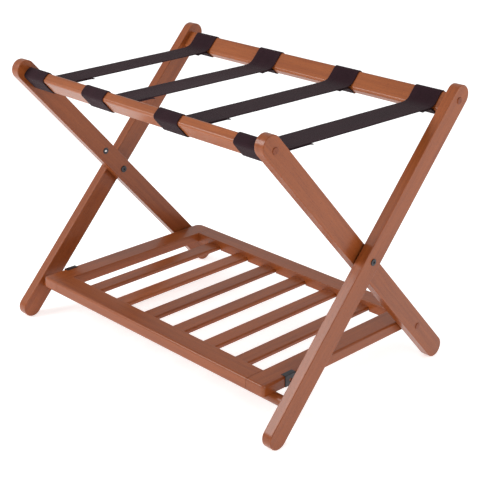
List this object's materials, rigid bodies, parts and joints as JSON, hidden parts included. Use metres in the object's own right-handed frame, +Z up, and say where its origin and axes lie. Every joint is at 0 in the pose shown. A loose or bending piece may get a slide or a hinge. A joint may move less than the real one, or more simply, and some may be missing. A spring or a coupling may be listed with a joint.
{
  "type": "folding luggage rack",
  "caption": "Folding wooden luggage rack: crossed legs, dark webbing straps over two top rails, and a hinged slatted shelf near the floor that folds up inside.",
  "frame": {"origin": "on the floor, under the middle of the opened rack", "axes": "+X along the top rails to the right, +Y from the front (shelf's free edge) to the back, +Z up"},
  "size_m": [0.6834, 0.466, 0.512],
  "materials": {
    "leg_wood": "satin lacquered, warm reddish brown",
    "rail_wood": "satin lacquered, warm reddish brown",
    "shelf_wood": "satin lacquered, warm reddish brown",
    "slat_wood": "satin lacquered, warm reddish brown",
    "plug_wood": "satin lacquered button, end grain",
    "dowel_wood": "bare beech",
    "webbing": "ribbed woven webbing, dark aubergine",
    "black_metal": "black oxide, satin",
    "ball_steel": "polished steel",
    "zinc_steel": "zinc plated",
    "nylon": "black nylon"
  },
  "bodies": {
    "inner_frame": {"catch_shell_left": "black_metal", "catch_shell_right": "black_metal", "catch_spring_left": "zinc_steel", "catch_spring_right": "zinc_steel", "front_rail_dowels": "dowel_wood", "front_rail_plugs": "plug_wood", "front_rail_screws": "zinc_steel", "front_top_rail": "rail_wood", "inner_leg_left": "leg_wood", "inner_leg_right": "leg_wood", "pivot_bolt_left": "black_metal", "pivot_bolt_right": "black_metal", "pivot_cap_nut_left": "black_metal", "pivot_cap_nut_right": "black_metal", "pivot_spacers": "nylon", "shelf_pivot_pins": "zinc_steel", "shelf_pivot_plugs": "plug_wood", "shelf_pivot_washers": "nylon", "strap_1_front_loop": "webbing", "strap_1_span": "webbing", "strap_2_front_loop": "webbing", "strap_2_span": "webbing", "strap_3_front_loop": "webbing", "strap_3_span": "webbing", "strap_4_front_loop": "webbing", "strap_4_span": "webbing"},
    "outer_frame": {"front_stretcher": "rail_wood", "outer_leg_left": "leg_wood", "outer_leg_right": "leg_wood", "rear_rail_dowels": "dowel_wood", "rear_rail_plugs": "plug_wood", "rear_rail_screws": "zinc_steel", "rear_top_rail": "rail_wood", "strap_1_rear_loop": "webbing", "strap_2_rear_loop": "webbing", "strap_3_rear_loop": "webbing", "strap_4_rear_loop": "webbing"},
    "shelf": {"shelf_corner_dowels": "dowel_wood", "shelf_front_rail": "shelf_wood", "shelf_rear_rail": "shelf_wood", "shelf_side_rail_left": "shelf_wood", "shelf_side_rail_right": "shelf_wood", "shelf_slat_1": "slat_wood", "shelf_slat_2": "slat_wood", "shelf_slat_3": "slat_wood", "shelf_slat_4": "slat_wood", "shelf_slat_5": "slat_wood", "shelf_slat_6": "slat_wood", "strike_plate_left": "black_metal", "strike_plate_right": "black_metal", "strike_plate_screws": "zinc_steel"},
    "catch_ball_left": {"catch_ball_left": "ball_steel"},
    "catch_ball_right": {"catch_ball_right": "ball_steel"}
  },
  "joints": [
    {"name": "fold_hinge", "type": "hinge", "parent": "inner_frame", "child": "outer_frame", "pos_m": [0, 0, 0.256], "axis": [1, 0, 0], "range_deg": [0, 77.5], "deforming": ["strap_1_span", "strap_2_span", "strap_3_span", "strap_4_span"]},
    {"name": "shelf_hinge", "type": "hinge", "parent": "inner_frame", "child": "shelf", "pos_m": [0, 0.1599, 0.07891], "axis": [-1, 0, 0], "range_deg": [0, 47.9]},
    {"name": "catch_ball_left_press", "type": "slide", "parent": "inner_frame", "child": "catch_ball_left", "axis": [-1, 0, 0], "range_m": [0, 0.0015], "stiffness_N_per_m": 1500, "springref_m": -0.001, "deforming": ["catch_spring_left"]},
    {"name": "catch_ball_right_press", "type": "slide", "parent": "inner_frame", "child": "catch_ball_right", "axis": [1, 0, 0], "range_m": [0, 0.0015], "stiffness_N_per_m": 1500, "springref_m": -0.001, "deforming": ["catch_spring_right"]}
  ]
}
